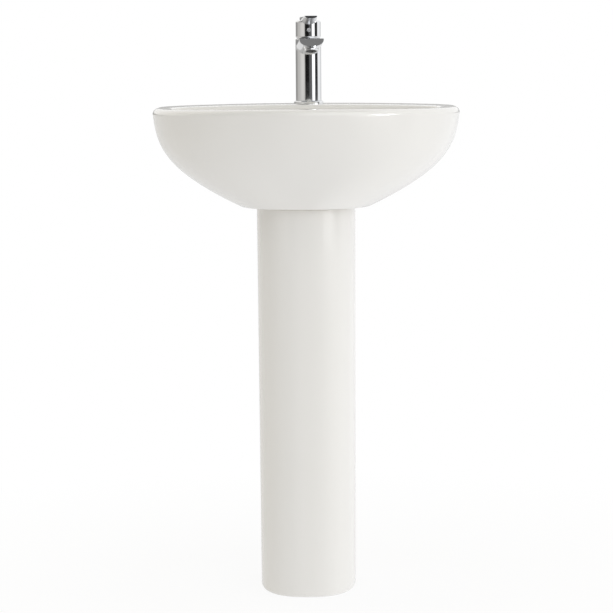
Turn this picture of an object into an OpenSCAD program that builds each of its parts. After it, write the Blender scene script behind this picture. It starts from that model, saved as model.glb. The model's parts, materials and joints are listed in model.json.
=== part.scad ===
// Pedestal wash basin with a single-lever mixer, a push-plug waste and a bottle trap.
// Frame: origin on the floor under the middle of the basin, front towards -Y, wall at +Y.

/* [Basin] */
// Width across the rim
basin_w = 550; // [540:5:560]
// Depth from the wall to the front of the rim
basin_d = 440; // [430:5:450]
// Height of the tap deck above the floor
rim_z = 850; // [840:5:870]
// Height of the basin from the pedestal to the deck
basin_h = 172; // [168:1:174]
// Thickness of the ceramic
wall = 12; // [11:0.5:13]
// Radius of the rolled outer edge of the rim
rim_r = 10; // [8:0.5:12]
// Depth of the bowl below the deck
bowl_depth = 138; // [134:1:140]
// Fall of the rim from its middle to its ends
rim_fall = 5; // [0:0.5:6]

/* [Pedestal] */
// Half width of the column at the floor
foot_half_w = 84; // [80:0.5:86]
// Half width of the column under the basin
neck_half_w = 86.5; // [84:0.5:90]
// Distance of the column's front from the middle
column_front = 121; // [118:1:130]
// Distance of the column's open back from the middle
column_back = 75; // [65:1:85]
// Thickness of the column's wall
column_wall = 13; // [12:0.5:15]

/* [Tap] */
// Distance of the tap's axis to the right of the middle
tap_x = 4; // [0:0.5:4]
// Distance of the tap's axis behind the middle of the basin
tap_y = 150; // [145:1:155]
// Turn of the whole tap towards the right
tap_turn = 4; // [-10:1:10]
// Height of the handle's pivot above the deck
pivot_h = 94; // [90:1:98]
// Radius of the tap's body
body_r = 23; // [22.8:0.1:23.2]
// Reach of the spout from the tap's axis
spout_reach = 106; // [100:1:112]
// Forward tilt of the aerator
aerator_tilt = 16; // [10:1:18]
// Reach of the lever from the tap's axis
lever_reach = 92; // [80:1:100]

/* [Waste and trap] */
// Distance of the drain in front of the middle of the basin
drain_front = 40; // [36:1:44]
// Outside radius of the waste's threaded tail
tail_r = 20.9; // [20.7:0.1:21]
// Height of the trap's outlet above the floor
outlet_z = 585; // [580:1:590]
// Inside radius of the trap's outlet, for a 32 mm pipe
outlet_r = 16.3; // [16.2:0.1:16.5]

/* [Hidden] */
$fn = 72;

half_w = basin_w / 2;
wall_y = basin_d / 2;
seat_z = rim_z - basin_h;
floor_z = rim_z - bowl_depth;
deck_under_z = rim_z - 14;
segments = 60;
ceramic_white = [0.94, 0.93, 0.90];
chrome_grey = [0.78, 0.79, 0.80];
rubber_black = [0.12, 0.12, 0.13];
brass_gold = [0.78, 0.64, 0.36];
plastic_white = [0.90, 0.90, 0.88];
plastic_dark = [0.16, 0.16, 0.17];

// ---- curves -------------------------------------------------------------------------------
// A cubic curve through four control points, each [half width, front, back, height].
function curve(p, t) =
    pow(1 - t, 3) * p[0] + 3 * t * pow(1 - t, 2) * p[1] + 3 * t * t * (1 - t) * p[2] + pow(t, 3) * p[3];
function curve_slope(p, t) =
    3 * pow(1 - t, 2) * (p[1] - p[0]) + 6 * t * (1 - t) * (p[2] - p[1]) + 3 * t * t * (p[3] - p[2]);
// The same curve moved square to itself by d: positive is outward and down.
function moved(p, t, d) =
    let (c = curve(p, t), s = curve_slope(p, t), w = norm([s[0], s[3]]), f = norm([s[1], s[3]]),
        b = norm([s[2], s[3]]))
    [c[0] - d * s[3] / w, c[1] - d * s[3] / f, c[2] - d * s[3] / b, c[3] + d * s[0] / w];
// One level outline: an oval front, a squarer back, cut off flat at the wall side.
function outline(c, wide_y, front_n, back_n, limit) =
    [for (i = [0 : segments - 1])
        let (a = 360 * i / segments, n = sin(a) < 0 ? front_n : back_n,
            x = c[0] * sign(cos(a)) * pow(abs(cos(a)), 2 / n),
            reach = sin(a) < 0 ? wide_y + c[1] : c[2] - wide_y,
            y = wide_y + sign(sin(a)) * reach * pow(abs(sin(a)), 2 / n),
            high = max(0, (c[3] - floor_z) / (rim_z - floor_z)))
        [x, min(y, limit), c[3] - rim_fall * high * pow(x / half_w, 2)]];
function mix(a, b, t) = a + (b - a) * t;
function steps(n) = [for (i = [0 : n]) i / n];

// ---- basin --------------------------------------------------------------------------------
skin = [[half_w, wall_y, wall_y + 5, rim_z - rim_r], [half_w - 7, wall_y, wall_y + 5, rim_z - 66],
    [half_w - 20, wall_y - 25, wall_y + 5, rim_z - 110], [117, 137, wall_y + 5, seat_z]];
bowl = [[half_w - 43, wall_y - 40, 94, rim_z - 8], [half_w - 49, wall_y - 44, 88, rim_z - 92],
    [half_w - 125, wall_y - 90, 50, floor_z + 4], [20, drain_front + 20, 20 - drain_front, floor_z]];
rim_wide_y = 110;
rim_n = 2.1;
bowl_wide_y = 40;
bowl_n = 2.1;
// The outline keeps its shape just below the rim and squares up faster towards the seat.
function skin_ring(t, d) =
    let (k = pow(t, 1.5))
    outline(moved(skin, t, d), mix(rim_wide_y, 20, k), mix(rim_n, 2.7, k), 6.5, wall_y + d);
function bowl_ring(t, d) =
    outline(moved(bowl, t, d), mix(bowl_wide_y, -drain_front, t), mix(bowl_n, 2, t), mix(3.2, 2, t), wall_y);
function rim_ring(inset, z) =
    outline([half_w - inset, wall_y - inset, wall_y + 5 - inset, z], rim_wide_y, rim_n, 6.5, wall_y - inset);
function lip_ring(outset, z) =
    outline([bowl[0][0] + outset, bowl[0][1] + outset, bowl[0][2] + outset, z],
        bowl_wide_y, bowl_n, 3.2, wall_y);
function flange_ring(z) = outline([75, 106, wall_y - 22, z], 20, 2.7, 6.5, wall_y);
basin_rings = concat(
    [for (t = steps(11)) skin_ring(1 - t, 0)],
    [for (a = [22.5 : 22.5 : 90]) rim_ring(rim_r * (1 - cos(a)), rim_z - rim_r * (1 - sin(a)))],
    [for (a = [90 : -30 : 30]) lip_ring(8 * (1 - cos(a)), rim_z - 8 * (1 - sin(a)))],
    [for (t = steps(12)) bowl_ring(t, 0)],
    [for (t = steps(8)) if (t < 1) bowl_ring(1 - t, wall)],
    [lip_ring(wall, deck_under_z), rim_ring(wall, deck_under_z)],
    [for (t = steps(8)) if (t > 0) skin_ring(t, -wall)],
    [flange_ring(seat_z + wall), flange_ring(seat_z)]);

// Joins closed rings of points, each to the next and the last to the first.
module looped(rings) {
    count = len(rings);
    size = len(rings[0]);
    points = [for (r = rings) each r];
    faces = [for (i = [0 : count - 1], j = [0 : size - 1])
        let (a = i * size, b = ((i + 1) % count) * size, k = (j + 1) % size)
        each [[a + j, b + j, b + k], [a + j, b + k, a + k]]];
    polyhedron(points, faces, convexity = 10);
}

drain_bore_r = 23;
boss_r = 36;
boss_z = seat_z + 2;
tap_hole_r = 17.5;
overflow_t = 0.11;
overflow_r = 11;
overflow_seat_r = 14.2;
bolt_half_span = 140;
bolt_z = rim_z - 70;
bolt_r = 7;

// Stands at the overflow hole, with +Z into the ceramic, square to the bowl's back wall.
module at_overflow() {
    place = curve(bowl, overflow_t);
    lean = curve_slope(bowl, overflow_t);
    translate([0, place[2], place[3]]) rotate([-90 - atan(lean[2] / lean[3]), 0, 0]) children();
}
// A passage behind the bowl's back wall, between two depths below the bowl's surface.
module overflow_duct(half_x, inner, outer, t0, t1) {
    near = [for (t = steps(8)) let (m = moved(bowl, mix(t0, t1, t), inner)) [m[2], m[3]]];
    far = [for (t = steps(8)) let (m = moved(bowl, mix(t1, t0, t), outer)) [m[2], m[3]]];
    translate([-half_x, 0, 0]) rotate([90, 0, 90]) linear_extrude(2 * half_x) polygon(concat(near, far));
}

module basin() {
    color(ceramic_white)
    difference() {
        union() {
            looped(basin_rings);
            translate([0, -drain_front, boss_z]) cylinder(r = boss_r, h = floor_z - wall / 2 - boss_z);
            overflow_duct(18, 6, 26, 0.04, 0.93);
        }
        overflow_duct(12, 9, 20, 0.06, 1);
        translate([0, -drain_front, boss_z - 1]) cylinder(r = drain_bore_r, h = basin_h);
        translate([0, -drain_front, floor_z - 3.5]) cylinder(r = 32.5, h = 40);
        translate([tap_x, tap_y, deck_under_z - 5]) cylinder(r = tap_hole_r, h = 40);
        at_overflow() translate([0, 0, -10]) cylinder(r = overflow_r, h = 26);
        at_overflow() translate([0, 0, -6]) cylinder(r = overflow_seat_r, h = 6);
        for (side = [-1, 1])
            translate([side * bolt_half_span, wall_y - 30, bolt_z]) rotate([-90, 0, 0])
                cylinder(r = bolt_r, h = 40);
    }
}

// ---- pedestal -----------------------------------------------------------------------------
foot_round = 6;
neck_round = 4;
screw_half_span = 52;
screw_y = 25;
screw_r = 4;
function rounding(r, a) = r * (1 - cos(a));
pedestal_levels = concat(
    [for (a = [90 : -22.5 : 0]) [rounding(foot_round, a), rounding(foot_round, 90 - a)]],
    [for (a = [0 : 22.5 : 90]) [rounding(neck_round, a), seat_z - rounding(neck_round, 90 - a)]]);
column_n = 2.5;
// One place on the U-shaped plan at angle a: 0 is the right side, -180 the left side.
function column_point(a, inset, z) =
    let (w = mix(foot_half_w, neck_half_w, z / seat_z) - inset)
    [w * sign(cos(a)) * pow(abs(cos(a)), 2 / column_n),
        (inset - column_front) * pow(abs(sin(a)), 2 / column_n), z];
function column_end(side, inset, z) =
    [side * (mix(foot_half_w, neck_half_w, z / seat_z) - inset), column_back, z];
inner_levels = [[column_wall, seat_z], [column_wall, 0]];
function station(a) =
    concat([for (l = pedestal_levels) column_point(a, l[0], l[1])],
        [for (l = inner_levels) column_point(a, l[0], l[1])]);
function end_station(side) =
    concat([for (l = pedestal_levels) column_end(side, l[0], l[1])],
        [for (l = inner_levels) column_end(side, l[0], l[1])]);
stations = concat([end_station(-1)], [for (a = [-180 : 6 : 0]) station(a)], [end_station(1)]);

module column() {
    count = len(stations);
    size = len(stations[0]);
    points = [for (s = stations) each s];
    sides = [for (i = [0 : count - 2], j = [0 : size - 1])
        let (a = i * size, b = (i + 1) * size, k = (j + 1) % size)
        each [[a + j, a + k, b + k], [a + j, b + k, b + j]]];
    ends = [[for (j = [size - 1 : -1 : 0]) j], [for (j = [0 : size - 1]) (count - 1) * size + j]];
    polyhedron(points, concat(sides, ends), convexity = 10);
}

module pedestal() {
    color(ceramic_white)
    difference() {
        union() {
            column();
            for (side = [-1, 1])
                translate([side * 58 - 20, screw_y - 18, 0]) cube([40, 36, 16]);
        }
        for (side = [-1, 1])
            translate([side * screw_half_span, screw_y, -1]) cylinder(r = screw_r, h = 20);
    }
}

// ---- tap ----------------------------------------------------------------------------------
ring_z = rim_z + 5.5;
pivot_z = rim_z + pivot_h;
dome_r = 32;
dome_gap = 0.4;
hub_r = body_r - 0.5;
spout_top_z = pivot_z + 21;
lever_top_z = pivot_z + 64;
tail_x = 6.5;
tail_y = -3;
stud_y = 8.5;
stud_r = 3;
copper_r = 5;
cartridge_r = 17.4;
cartridge_z = pivot_z - 26;
cartridge_top_z = pivot_z + 14;
nut_r = 19;
channel_z = pivot_z - 2;
aerator_y = 18 - spout_reach;
aerator_z = pivot_z + 1;
aerator_r = 12;

module at_tap() {
    translate([tap_x, tap_y, 0]) rotate([0, 0, tap_turn]) children();
}
module tube(outer, inner, z0, z1) {
    translate([0, 0, z0])
    difference() {
        cylinder(r = outer, h = z1 - z0);
        translate([0, 0, -1]) cylinder(r = inner, h = z1 - z0 + 2);
    }
}
// A flat-topped section with a round belly, standing across the Y axis.
module belly(half, deep, y, z) {
    translate([0, y, z]) rotate([90, 0, 0]) linear_extrude(0.4)
        polygon([for (a = [0 : 7.5 : 180])
            [half * sign(cos(a)) * pow(abs(cos(a)), 0.8), -deep * pow(sin(a), 0.8)]]);
}
module aerator_axis() {
    translate([0, aerator_y, aerator_z]) rotate([-aerator_tilt, 0, 0]) children();
}

module tap_body() {
    color(chrome_grey) at_tap()
    difference() {
        union() {
            intersection() {
                translate([0, 0, ring_z]) cylinder(r = body_r, h = 60 + pivot_z - ring_z);
                union() {
                    translate([0, 0, pivot_z]) sphere(r = dome_r);
                    translate([0, 0, ring_z]) cylinder(r = body_r + 1, h = pivot_z - ring_z);
                }
            }
            translate([0, 0, ring_z - 8]) cylinder(r = 13.8, h = 10);
            hull() {
                belly(body_r - 0.3, 30, -2, spout_top_z);
                belly(22, 13.5, -spout_reach + 0.4, spout_top_z + 2.5);
            }
            aerator_axis() translate([0, 0, 4]) cylinder(r = aerator_r + 1.5, h = 8);
        }
        translate([0, 0, cartridge_z]) cylinder(r = cartridge_r + 0.1, h = 60);
        translate([0, 0, cartridge_top_z]) cylinder(r = nut_r + 0.05, h = 40);
        translate([0, 0, cartridge_z - 8]) cylinder(r = 12.5, h = 9);
        for (side = [-1, 1])
            translate([side * tail_x, tail_y, ring_z - 9]) cylinder(r = copper_r, h = 27);
        for (side = [-1, 1])
            translate([side * tail_x, tail_y, ring_z + 10]) cylinder(r = 3, h = cartridge_z - ring_z - 9);
        translate([0, stud_y, ring_z - 9]) cylinder(r = stud_r, h = 30);
        translate([0, -12, channel_z]) rotate([80, 0, 0]) cylinder(r = 4, h = -aerator_y - 12);
        aerator_axis() translate([0, 0, -20]) cylinder(r = aerator_r, h = 30);
    }
}
module base_ring() {
    color(chrome_grey) at_tap()
    difference() {
        translate([0, 0, rim_z]) rotate_extrude()
            polygon([[13.9, 0], [26.5, 0], [26.5, 4], [25, 5.5], [13.9, 5.5]]);
        tube(24.5, 20.5, rim_z - 1, rim_z + 2);
    }
}
module base_seal() {
    color(rubber_black) at_tap() tube(24.5, 20.5, rim_z, rim_z + 2);
}
module aerator_housing() {
    color(chrome_grey) at_tap() aerator_axis()
    difference() {
        cylinder(r = aerator_r, h = 9);
        translate([0, 0, -1]) cylinder(r = 10, h = 12);
    }
}
module aerator_insert() {
    color(plastic_dark) at_tap() aerator_axis() translate([0, 0, 1])
    difference() {
        cylinder(r = 10, h = 5);
        for (i = [0 : 5])
            rotate([0, 0, 60 * i]) translate([5.5, 0, -1]) cylinder(r = 1.4, h = 8);
        translate([0, 0, -1]) cylinder(r = 1.4, h = 8);
    }
}
module aerator_washer() {
    color(rubber_black) at_tap() aerator_axis() tube(10, 6.5, 6, 8);
}
module fixing_stud() {
    color(brass_gold) at_tap() translate([0, stud_y, rim_z - 62]) cylinder(r = stud_r, h = 80);
}
module horseshoe(outer, z0, z1) {
    translate([0, 0, z0])
    difference() {
        cylinder(r = outer, h = z1 - z0);
        translate([-13, -30, -1]) cube([26, 33.5, 20]);
        translate([0, stud_y, -1]) cylinder(r = stud_r, h = 20);
    }
}
module horseshoe_washer() {
    color(rubber_black) at_tap() horseshoe(24, deck_under_z - 3, deck_under_z - 0.2);
}
module horseshoe_plate() {
    color(brass_gold) at_tap() horseshoe(23, deck_under_z - 6, deck_under_z - 3);
}
module fixing_nut() {
    color(brass_gold) at_tap() translate([0, stud_y, deck_under_z - 18])
    difference() {
        cylinder(r = 6, h = 12, $fn = 6);
        translate([0, 0, -1]) cylinder(r = stud_r, h = 14);
    }
}

// A copper tail drops from the tap, swings out sideways and drops again.
bend_r = 60;
bend_a = 35;
tail_low_z = 470;
tail_top_z = ring_z + 18;
tail_end_x = 50;
sway = tail_end_x - tail_x;
slant = (sway - 2 * bend_r * (1 - cos(bend_a))) / sin(bend_a);
bend_z = rim_z - 45;
knee_z = bend_z - 2 * bend_r * sin(bend_a) - slant * cos(bend_a);
// Each bend is 0.1 mm slimmer than the straights and runs one degree into them.
module bend(r0) {
    rotate([90, 1, 0]) rotate_extrude(angle = bend_a + 2) translate([bend_r, 0]) circle(r = r0 - 0.1);
}
module tail_path(r0, z_top, z_low) {
    translate([0, 0, bend_z]) cylinder(r = r0, h = z_top - bend_z);
    translate([bend_r, 0, bend_z]) mirror([1, 0, 0]) mirror([0, 0, 1]) bend(r0);
    translate([bend_r * (1 - cos(bend_a)), 0, bend_z - bend_r * sin(bend_a)])
        rotate([0, 180 - bend_a, 0]) cylinder(r = r0, h = slant);
    translate([sway - bend_r, 0, knee_z]) bend(r0);
    translate([sway, 0, z_low]) cylinder(r = r0, h = knee_z - z_low);
}
module tail(side) {
    color([0.72, 0.45, 0.30]) at_tap() translate([side * tail_x, tail_y, 0])
    mirror([side < 0 ? 1 : 0, 0, 0])
    difference() {
        tail_path(copper_r, tail_top_z, tail_low_z);
        tail_path(copper_r - 1, tail_top_z + 1, tail_low_z - 1);
    }
}
module hot_tail() tail(-1);
module cold_tail() tail(1);

// ---- cartridge ----------------------------------------------------------------------------
neck_r = 11.3;
cavity_r = 14.5;
slot_half = 4.4;
ball_z = pivot_z - 12;
module port(x, y, r, h) {
    translate([x, y, 0]) cylinder(r = r, h = h);
}
module cartridge_housing() {
    color(plastic_white) at_tap()
    difference() {
        translate([0, 0, cartridge_z]) cylinder(r = cartridge_r, h = cartridge_top_z - cartridge_z);
        translate([0, 0, cartridge_z + 3]) cylinder(r = cavity_r, h = pivot_z - 7.7 - cartridge_z - 3);
        translate([0, 0, pivot_z - 8]) cylinder(r = neck_r, h = 40);
        translate([0, 0, cartridge_z - 1]) port(-tail_x, tail_y, 2.6, 6);
        translate([0, 0, cartridge_z - 1]) port(tail_x, tail_y, 2.6, 6);
        translate([0, -10, channel_z - 8]) rotate([90, 0, 0]) cylinder(r = 3.4, h = 12);
    }
}
module cartridge_seals() {
    color(rubber_black) at_tap()
        for (side = [-1, 1])
            translate([side * tail_x, tail_y, 0]) tube(4.3, 2.7, cartridge_z - 1, cartridge_z);
}
module ceramic_disc_fixed() {
    color(ceramic_white) at_tap() translate([0, 0, cartridge_z + 3])
    difference() {
        cylinder(r = 14, h = 3.9);
        translate([0, 0, -1]) port(-tail_x, tail_y, 2.6, 8);
        translate([0, 0, -1]) port(tail_x, tail_y, 2.6, 8);
    }
}
module ceramic_disc_moving() {
    color(ceramic_white) at_tap() translate([0, 0, cartridge_z + 7])
    difference() {
        cylinder(r = 9, h = 3);
        translate([0, 2, -1]) cylinder(r = 3, h = 2.5);
    }
}
module disc_driver() {
    color(plastic_white) at_tap() translate([0, 0, cartridge_z + 10])
    difference() {
        cylinder(r = 9, h = 5.5);
        translate([0, 0, 0.4]) cylinder(r = 3.8, h = 8);
    }
}
module spindle_carrier() {
    color(plastic_white) at_tap()
    difference() {
        union() {
            translate([0, 0, pivot_z - 8.5]) cylinder(r = 11, h = 20.5);
            translate([0, 0, pivot_z - 10]) cylinder(r = 13.5, h = 2);
        }
        translate([-slot_half, -7.6, pivot_z - 11]) cube([2 * slot_half, 15.2, 4]);
        translate([-slot_half, -12, pivot_z - 7.5]) cube([2 * slot_half, 24, 30]);
        translate([-12, 0, pivot_z]) rotate([0, 90, 0]) cylinder(r = 1.5, h = 24);
    }
}
module pivot_pin() {
    color(chrome_grey) at_tap() translate([-10, 0, pivot_z]) rotate([0, 90, 0]) cylinder(r = 1.5, h = 20);
}
stem_r = 4;
stem_top_z = pivot_z + 48;
module spindle() {
    color(chrome_grey) at_tap()
    difference() {
        union() {
            translate([0, 0, ball_z]) sphere(r = 3.3);
            translate([0, 0, ball_z]) cylinder(r = 2.4, h = pivot_z - ball_z);
            translate([-4, 0, pivot_z]) rotate([0, 90, 0]) cylinder(r = 4.6, h = 8);
            translate([0, 0, pivot_z + 2]) cylinder(r = stem_r, h = stem_top_z - pivot_z - 2);
        }
        translate([-6, 0, pivot_z]) rotate([0, 90, 0]) cylinder(r = 1.55, h = 12);
    }
}
module cartridge_nut() {
    color(brass_gold) at_tap()
    difference() {
        tube(nut_r, 13, cartridge_top_z, cartridge_top_z + 8.5);
        for (i = [0 : 3])
            rotate([0, 0, 45 + 90 * i]) translate([11, -1.5, cartridge_top_z + 6]) cube([10, 3, 4]);
    }
}

// ---- handle -------------------------------------------------------------------------------
hub_top_z = pivot_z + 56;
screw_z = pivot_z + 39;
module handle() {
    color(chrome_grey) at_tap()
    difference() {
        union() {
            translate([0, 0, pivot_z + 20]) rotate_extrude()
                polygon(concat([[0, 0], [hub_r - 3, 0], [hub_r, 6.5]],
                    [for (a = [0 : 15 : 90]) [hub_r - 3 + 3 * cos(a), hub_top_z - pivot_z - 23 + 3 * sin(a)]],
                    [[0, hub_top_z - pivot_z - 20]]));
            hull() {
                belly(14.5, 17, 17, lever_top_z - 1.5);
                belly(14.5, 16, -10, lever_top_z - 1);
                belly(11.5, 5, -lever_reach + 0.4, lever_top_z);
            }
        }
        translate([0, 0, pivot_z]) sphere(r = dome_r + dome_gap);
        translate([0, 0, pivot_z + 20]) cylinder(r = stem_r, h = stem_top_z - pivot_z - 20);
        translate([0, 0, screw_z]) rotate([90, 0, 0]) cylinder(r = 2.5, h = 30);
        translate([0, -17, screw_z]) rotate([90, 0, 0]) cylinder(r = 3.75, h = 30);
    }
}
module grub_screw() {
    color([0.35, 0.35, 0.37]) at_tap()
    difference() {
        translate([0, -stem_r, screw_z]) rotate([90, 0, 0]) cylinder(r = 2.5, h = 9);
        translate([0, -stem_r - 6, screw_z]) rotate([90, 0, 0]) cylinder(r = 1.5, h = 10, $fn = 6);
    }
}
module indicator() {
    color([0.75, 0.75, 0.78]) at_tap()
    intersection() {
        translate([0, -17, screw_z]) rotate([90, 0, 0]) cylinder(r = 3.75, h = 10);
        translate([0, 0, screw_z - 10]) cylinder(r = hub_r + 0.3, h = 20);
    }
}

// ---- waste and plug -----------------------------------------------------------------------
flange_z = floor_z + 1;
waste_low_z = seat_z - 42;
guide_z = floor_z - 22;
cap_z = flange_z + 9.3;
module at_drain() {
    translate([0, -drain_front, 0]) children();
}
module waste_body() {
    color(chrome_grey) at_drain()
    difference() {
        union() {
            translate([0, 0, waste_low_z]) cylinder(r = tail_r, h = flange_z - waste_low_z);
            translate([0, 0, flange_z - 3]) cylinder(r = 31.5, h = 3);
        }
        difference() {
            translate([0, 0, waste_low_z - 1]) cylinder(r = 17.5, h = 120);
            translate([0, 0, guide_z]) cylinder(r = 6, h = 8);
            for (i = [0 : 2])
                rotate([0, 0, 90 + 120 * i]) translate([0, -1.5, guide_z]) cube([19, 3, 8]);
        }
        translate([0, 0, guide_z - 1]) cylinder(r = 3.05, h = 10);
        for (i = [0 : 2])
            rotate([0, 0, 30 + 120 * i]) translate([14, -5, boss_z + 6]) cube([10, 10, 12]);
    }
}
module waste_top_seal() {
    color(rubber_black) at_drain() tube(31, tail_r, floor_z - 3.5, floor_z - 2);
}
module waste_bottom_seal() {
    color(rubber_black) at_drain() tube(34, tail_r, boss_z - 4, boss_z);
}
module waste_backnut() {
    color(brass_gold) at_drain()
    difference() {
        translate([0, 0, boss_z - 14]) cylinder(r = 32, h = 10, $fn = 6);
        translate([0, 0, boss_z - 15]) cylinder(r = tail_r, h = 12);
    }
}
module plug_cap() {
    color(chrome_grey) at_drain()
    difference() {
        intersection() {
            translate([0, 0, cap_z]) cylinder(r = 28.5, h = 6);
            translate([0, 0, cap_z + 6 - 150]) sphere(r = 150, $fn = 180);
        }
        translate([0, 0, cap_z - 1]) cylinder(r = 3, h = 4);
        tube(24, 20, cap_z - 1, cap_z + 1.5);
    }
}
module plug_seal() {
    color(rubber_black) at_drain() tube(24, 20, cap_z - 0.1, cap_z + 1.5);
}
module plug_spindle() {
    color(brass_gold) at_drain() {
        translate([0, 0, guide_z - 4]) cylinder(r = 3, h = cap_z + 3 - guide_z + 4);
        translate([0, 0, guide_z - 4]) cylinder(r = 4.5, h = 3.5);
    }
}
spring_r = 6;
wire_r = 0.8;
spring_turns = 5;
module plug_spring() {
    low = guide_z + 8 + wire_r + 0.1;
    high = cap_z - wire_r - 0.1;
    turn_steps = 20;
    count = spring_turns * turn_steps;
    points = [for (i = [0 : count], j = [0 : 5])
        let (a = 360 * i / turn_steps, r = spring_r + wire_r * cos(60 * j))
        [r * cos(a), r * sin(a), mix(low, high, i / count) + wire_r * sin(60 * j)]];
    sides = [for (i = [0 : count - 1], j = [0 : 5])
        let (a = 6 * i, b = 6 * i + 6, k = (j + 1) % 6)
        each [[a + j, a + k, b + k], [a + j, b + k, b + j]]];
    ends = [[5, 4, 3, 2, 1, 0], [for (j = [0 : 5]) 6 * count + j]];
    color([0.6, 0.6, 0.62]) at_drain() polyhedron(points, concat(sides, ends), convexity = 10);
}
module overflow_ring() {
    color(chrome_grey) at_overflow() difference() {
        union() {
            translate([0, 0, -2]) cylinder(r = overflow_seat_r - 0.2, h = 2);
            cylinder(r = overflow_r - 0.1, h = 12);
        }
        translate([0, 0, -3]) cylinder(r = 8.5, h = 20);
    }
}

// ---- trap ---------------------------------------------------------------------------------
inlet_z = waste_low_z - 3;
trap_top_z = inlet_z - 17;
bottle_z = outlet_z - 110;
branch_end = 24;
module trap_inlet_nut() {
    color(plastic_white) at_drain()
    difference() {
        translate([0, 0, inlet_z - 7]) cylinder(r = 27, h = 26);
        translate([0, 0, inlet_z - 3]) cylinder(r = tail_r + 0.1, h = 40);
        translate([0, 0, inlet_z - 10]) cylinder(r = 16.4, h = 20);
        for (i = [0 : 11])
            rotate([0, 0, 30 * i]) translate([28.4, 0, inlet_z - 10]) cylinder(r = 2.4, h = 40);
    }
}
module trap_inlet_washer() {
    color(rubber_black) at_drain() tube(tail_r, 16, inlet_z, inlet_z + 3);
}
module trap_dip_tube() {
    color(plastic_white) at_drain()
    difference() {
        union() {
            translate([0, 0, inlet_z - 3]) cylinder(r = 20.6, h = 3);
            translate([0, 0, bottle_z + 35]) cylinder(r = 16, h = inlet_z - bottle_z - 36);
        }
        translate([0, 0, bottle_z + 30]) cylinder(r = 14, h = 200);
    }
}
module trap_body() {
    color(plastic_white) at_drain()
    difference() {
        union() {
            translate([0, 0, outlet_z - 30]) cylinder(r = 30, h = trap_top_z - outlet_z + 27);
            translate([0, 0, trap_top_z - 4]) cylinder(r = 22, h = 4);
            translate([0, 0, outlet_z]) rotate([-90, 0, 0]) cylinder(r = 20, h = branch_end + drain_front);
        }
        translate([0, 0, outlet_z - 31]) cylinder(r = 27, h = 19 + 31);
        translate([0, 0, outlet_z]) cylinder(r = 16.1, h = 100);
        translate([0, 0, trap_top_z - 2.5]) cylinder(r = 19, h = 5);
        translate([0, 10, outlet_z]) rotate([-90, 0, 0]) cylinder(r = outlet_r, h = 200);
    }
}
module trap_neck_seal() {
    color(rubber_black) at_drain() tube(19, 16, trap_top_z - 2.5, trap_top_z);
}
module trap_bottle() {
    color(plastic_white) at_drain()
    difference() {
        union() {
            translate([0, 0, bottle_z]) cylinder(r = 26.9, h = 91);
            translate([0, 0, bottle_z + 58]) cylinder(r = 30, h = 18);
            translate([0, 0, bottle_z]) cylinder(r = 29, h = 14);
        }
        translate([0, 0, bottle_z + 3]) cylinder(r = 24.4, h = 120);
        for (i = [0 : 17])
            rotate([0, 0, 20 * i]) translate([30.4, 0, bottle_z - 1]) cylinder(r = 2.2, h = 20);
    }
}
module trap_bottle_seal() {
    color(rubber_black) at_drain() tube(30, 26.9, bottle_z + 76, outlet_z - 30);
}
module trap_outlet_washer() {
    color(rubber_black) at_drain() translate([0, drain_front + branch_end, outlet_z]) rotate([-90, 0, 0])
        tube(20, outlet_r, 0, 4);
}
module trap_outlet_nut() {
    color(plastic_white) at_drain() translate([0, drain_front + branch_end, outlet_z]) rotate([-90, 0, 0])
    difference() {
        translate([0, 0, -16]) cylinder(r = 25, h = 24);
        translate([0, 0, -17]) cylinder(r = 20.1, h = 21);
        cylinder(r = outlet_r + 0.2, h = 30);
        for (i = [0 : 11])
            rotate([0, 0, 30 * i]) translate([26.3, 0, -20]) cylinder(r = 2.3, h = 40);
    }
}

basin();
pedestal();
tap_body();
base_ring();
base_seal();
aerator_housing();
aerator_insert();
aerator_washer();
fixing_stud();
horseshoe_washer();
horseshoe_plate();
fixing_nut();
hot_tail();
cold_tail();
cartridge_housing();
cartridge_seals();
ceramic_disc_fixed();
ceramic_disc_moving();
disc_driver();
spindle_carrier();
pivot_pin();
spindle();
cartridge_nut();
handle();
grub_screw();
indicator();
waste_body();
waste_top_seal();
waste_bottom_seal();
waste_backnut();
plug_cap();
plug_seal();
plug_spindle();
plug_spring();
overflow_ring();
trap_body();
trap_inlet_nut();
trap_inlet_washer();
trap_dip_tube();
trap_neck_seal();
trap_bottle();
trap_bottle_seal();
trap_outlet_nut();
trap_outlet_washer();
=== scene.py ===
"""Looks for the pedestal sink: glazed ceramic, polished chrome and the plumbing behind."""
import json
from math import atan2, cos, degrees, pi, radians, sin, sqrt

import bmesh
import bpy
import numpy as np
from mathutils import Matrix, Vector


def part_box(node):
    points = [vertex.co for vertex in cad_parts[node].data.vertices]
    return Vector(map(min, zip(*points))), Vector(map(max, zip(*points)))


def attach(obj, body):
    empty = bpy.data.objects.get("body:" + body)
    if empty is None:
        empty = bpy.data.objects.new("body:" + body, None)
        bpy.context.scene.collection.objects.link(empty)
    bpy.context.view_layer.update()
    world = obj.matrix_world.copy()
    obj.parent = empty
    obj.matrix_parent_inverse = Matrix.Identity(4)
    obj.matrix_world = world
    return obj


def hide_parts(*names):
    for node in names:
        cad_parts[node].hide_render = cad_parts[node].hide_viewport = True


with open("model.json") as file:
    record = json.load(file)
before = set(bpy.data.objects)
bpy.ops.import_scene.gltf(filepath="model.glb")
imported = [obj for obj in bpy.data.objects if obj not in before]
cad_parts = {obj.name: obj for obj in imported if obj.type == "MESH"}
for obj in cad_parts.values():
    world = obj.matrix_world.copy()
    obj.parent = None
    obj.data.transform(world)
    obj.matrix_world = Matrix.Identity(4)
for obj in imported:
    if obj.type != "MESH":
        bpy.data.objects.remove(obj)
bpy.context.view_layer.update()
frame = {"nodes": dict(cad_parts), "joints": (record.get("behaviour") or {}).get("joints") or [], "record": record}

MM = 0.001

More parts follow.
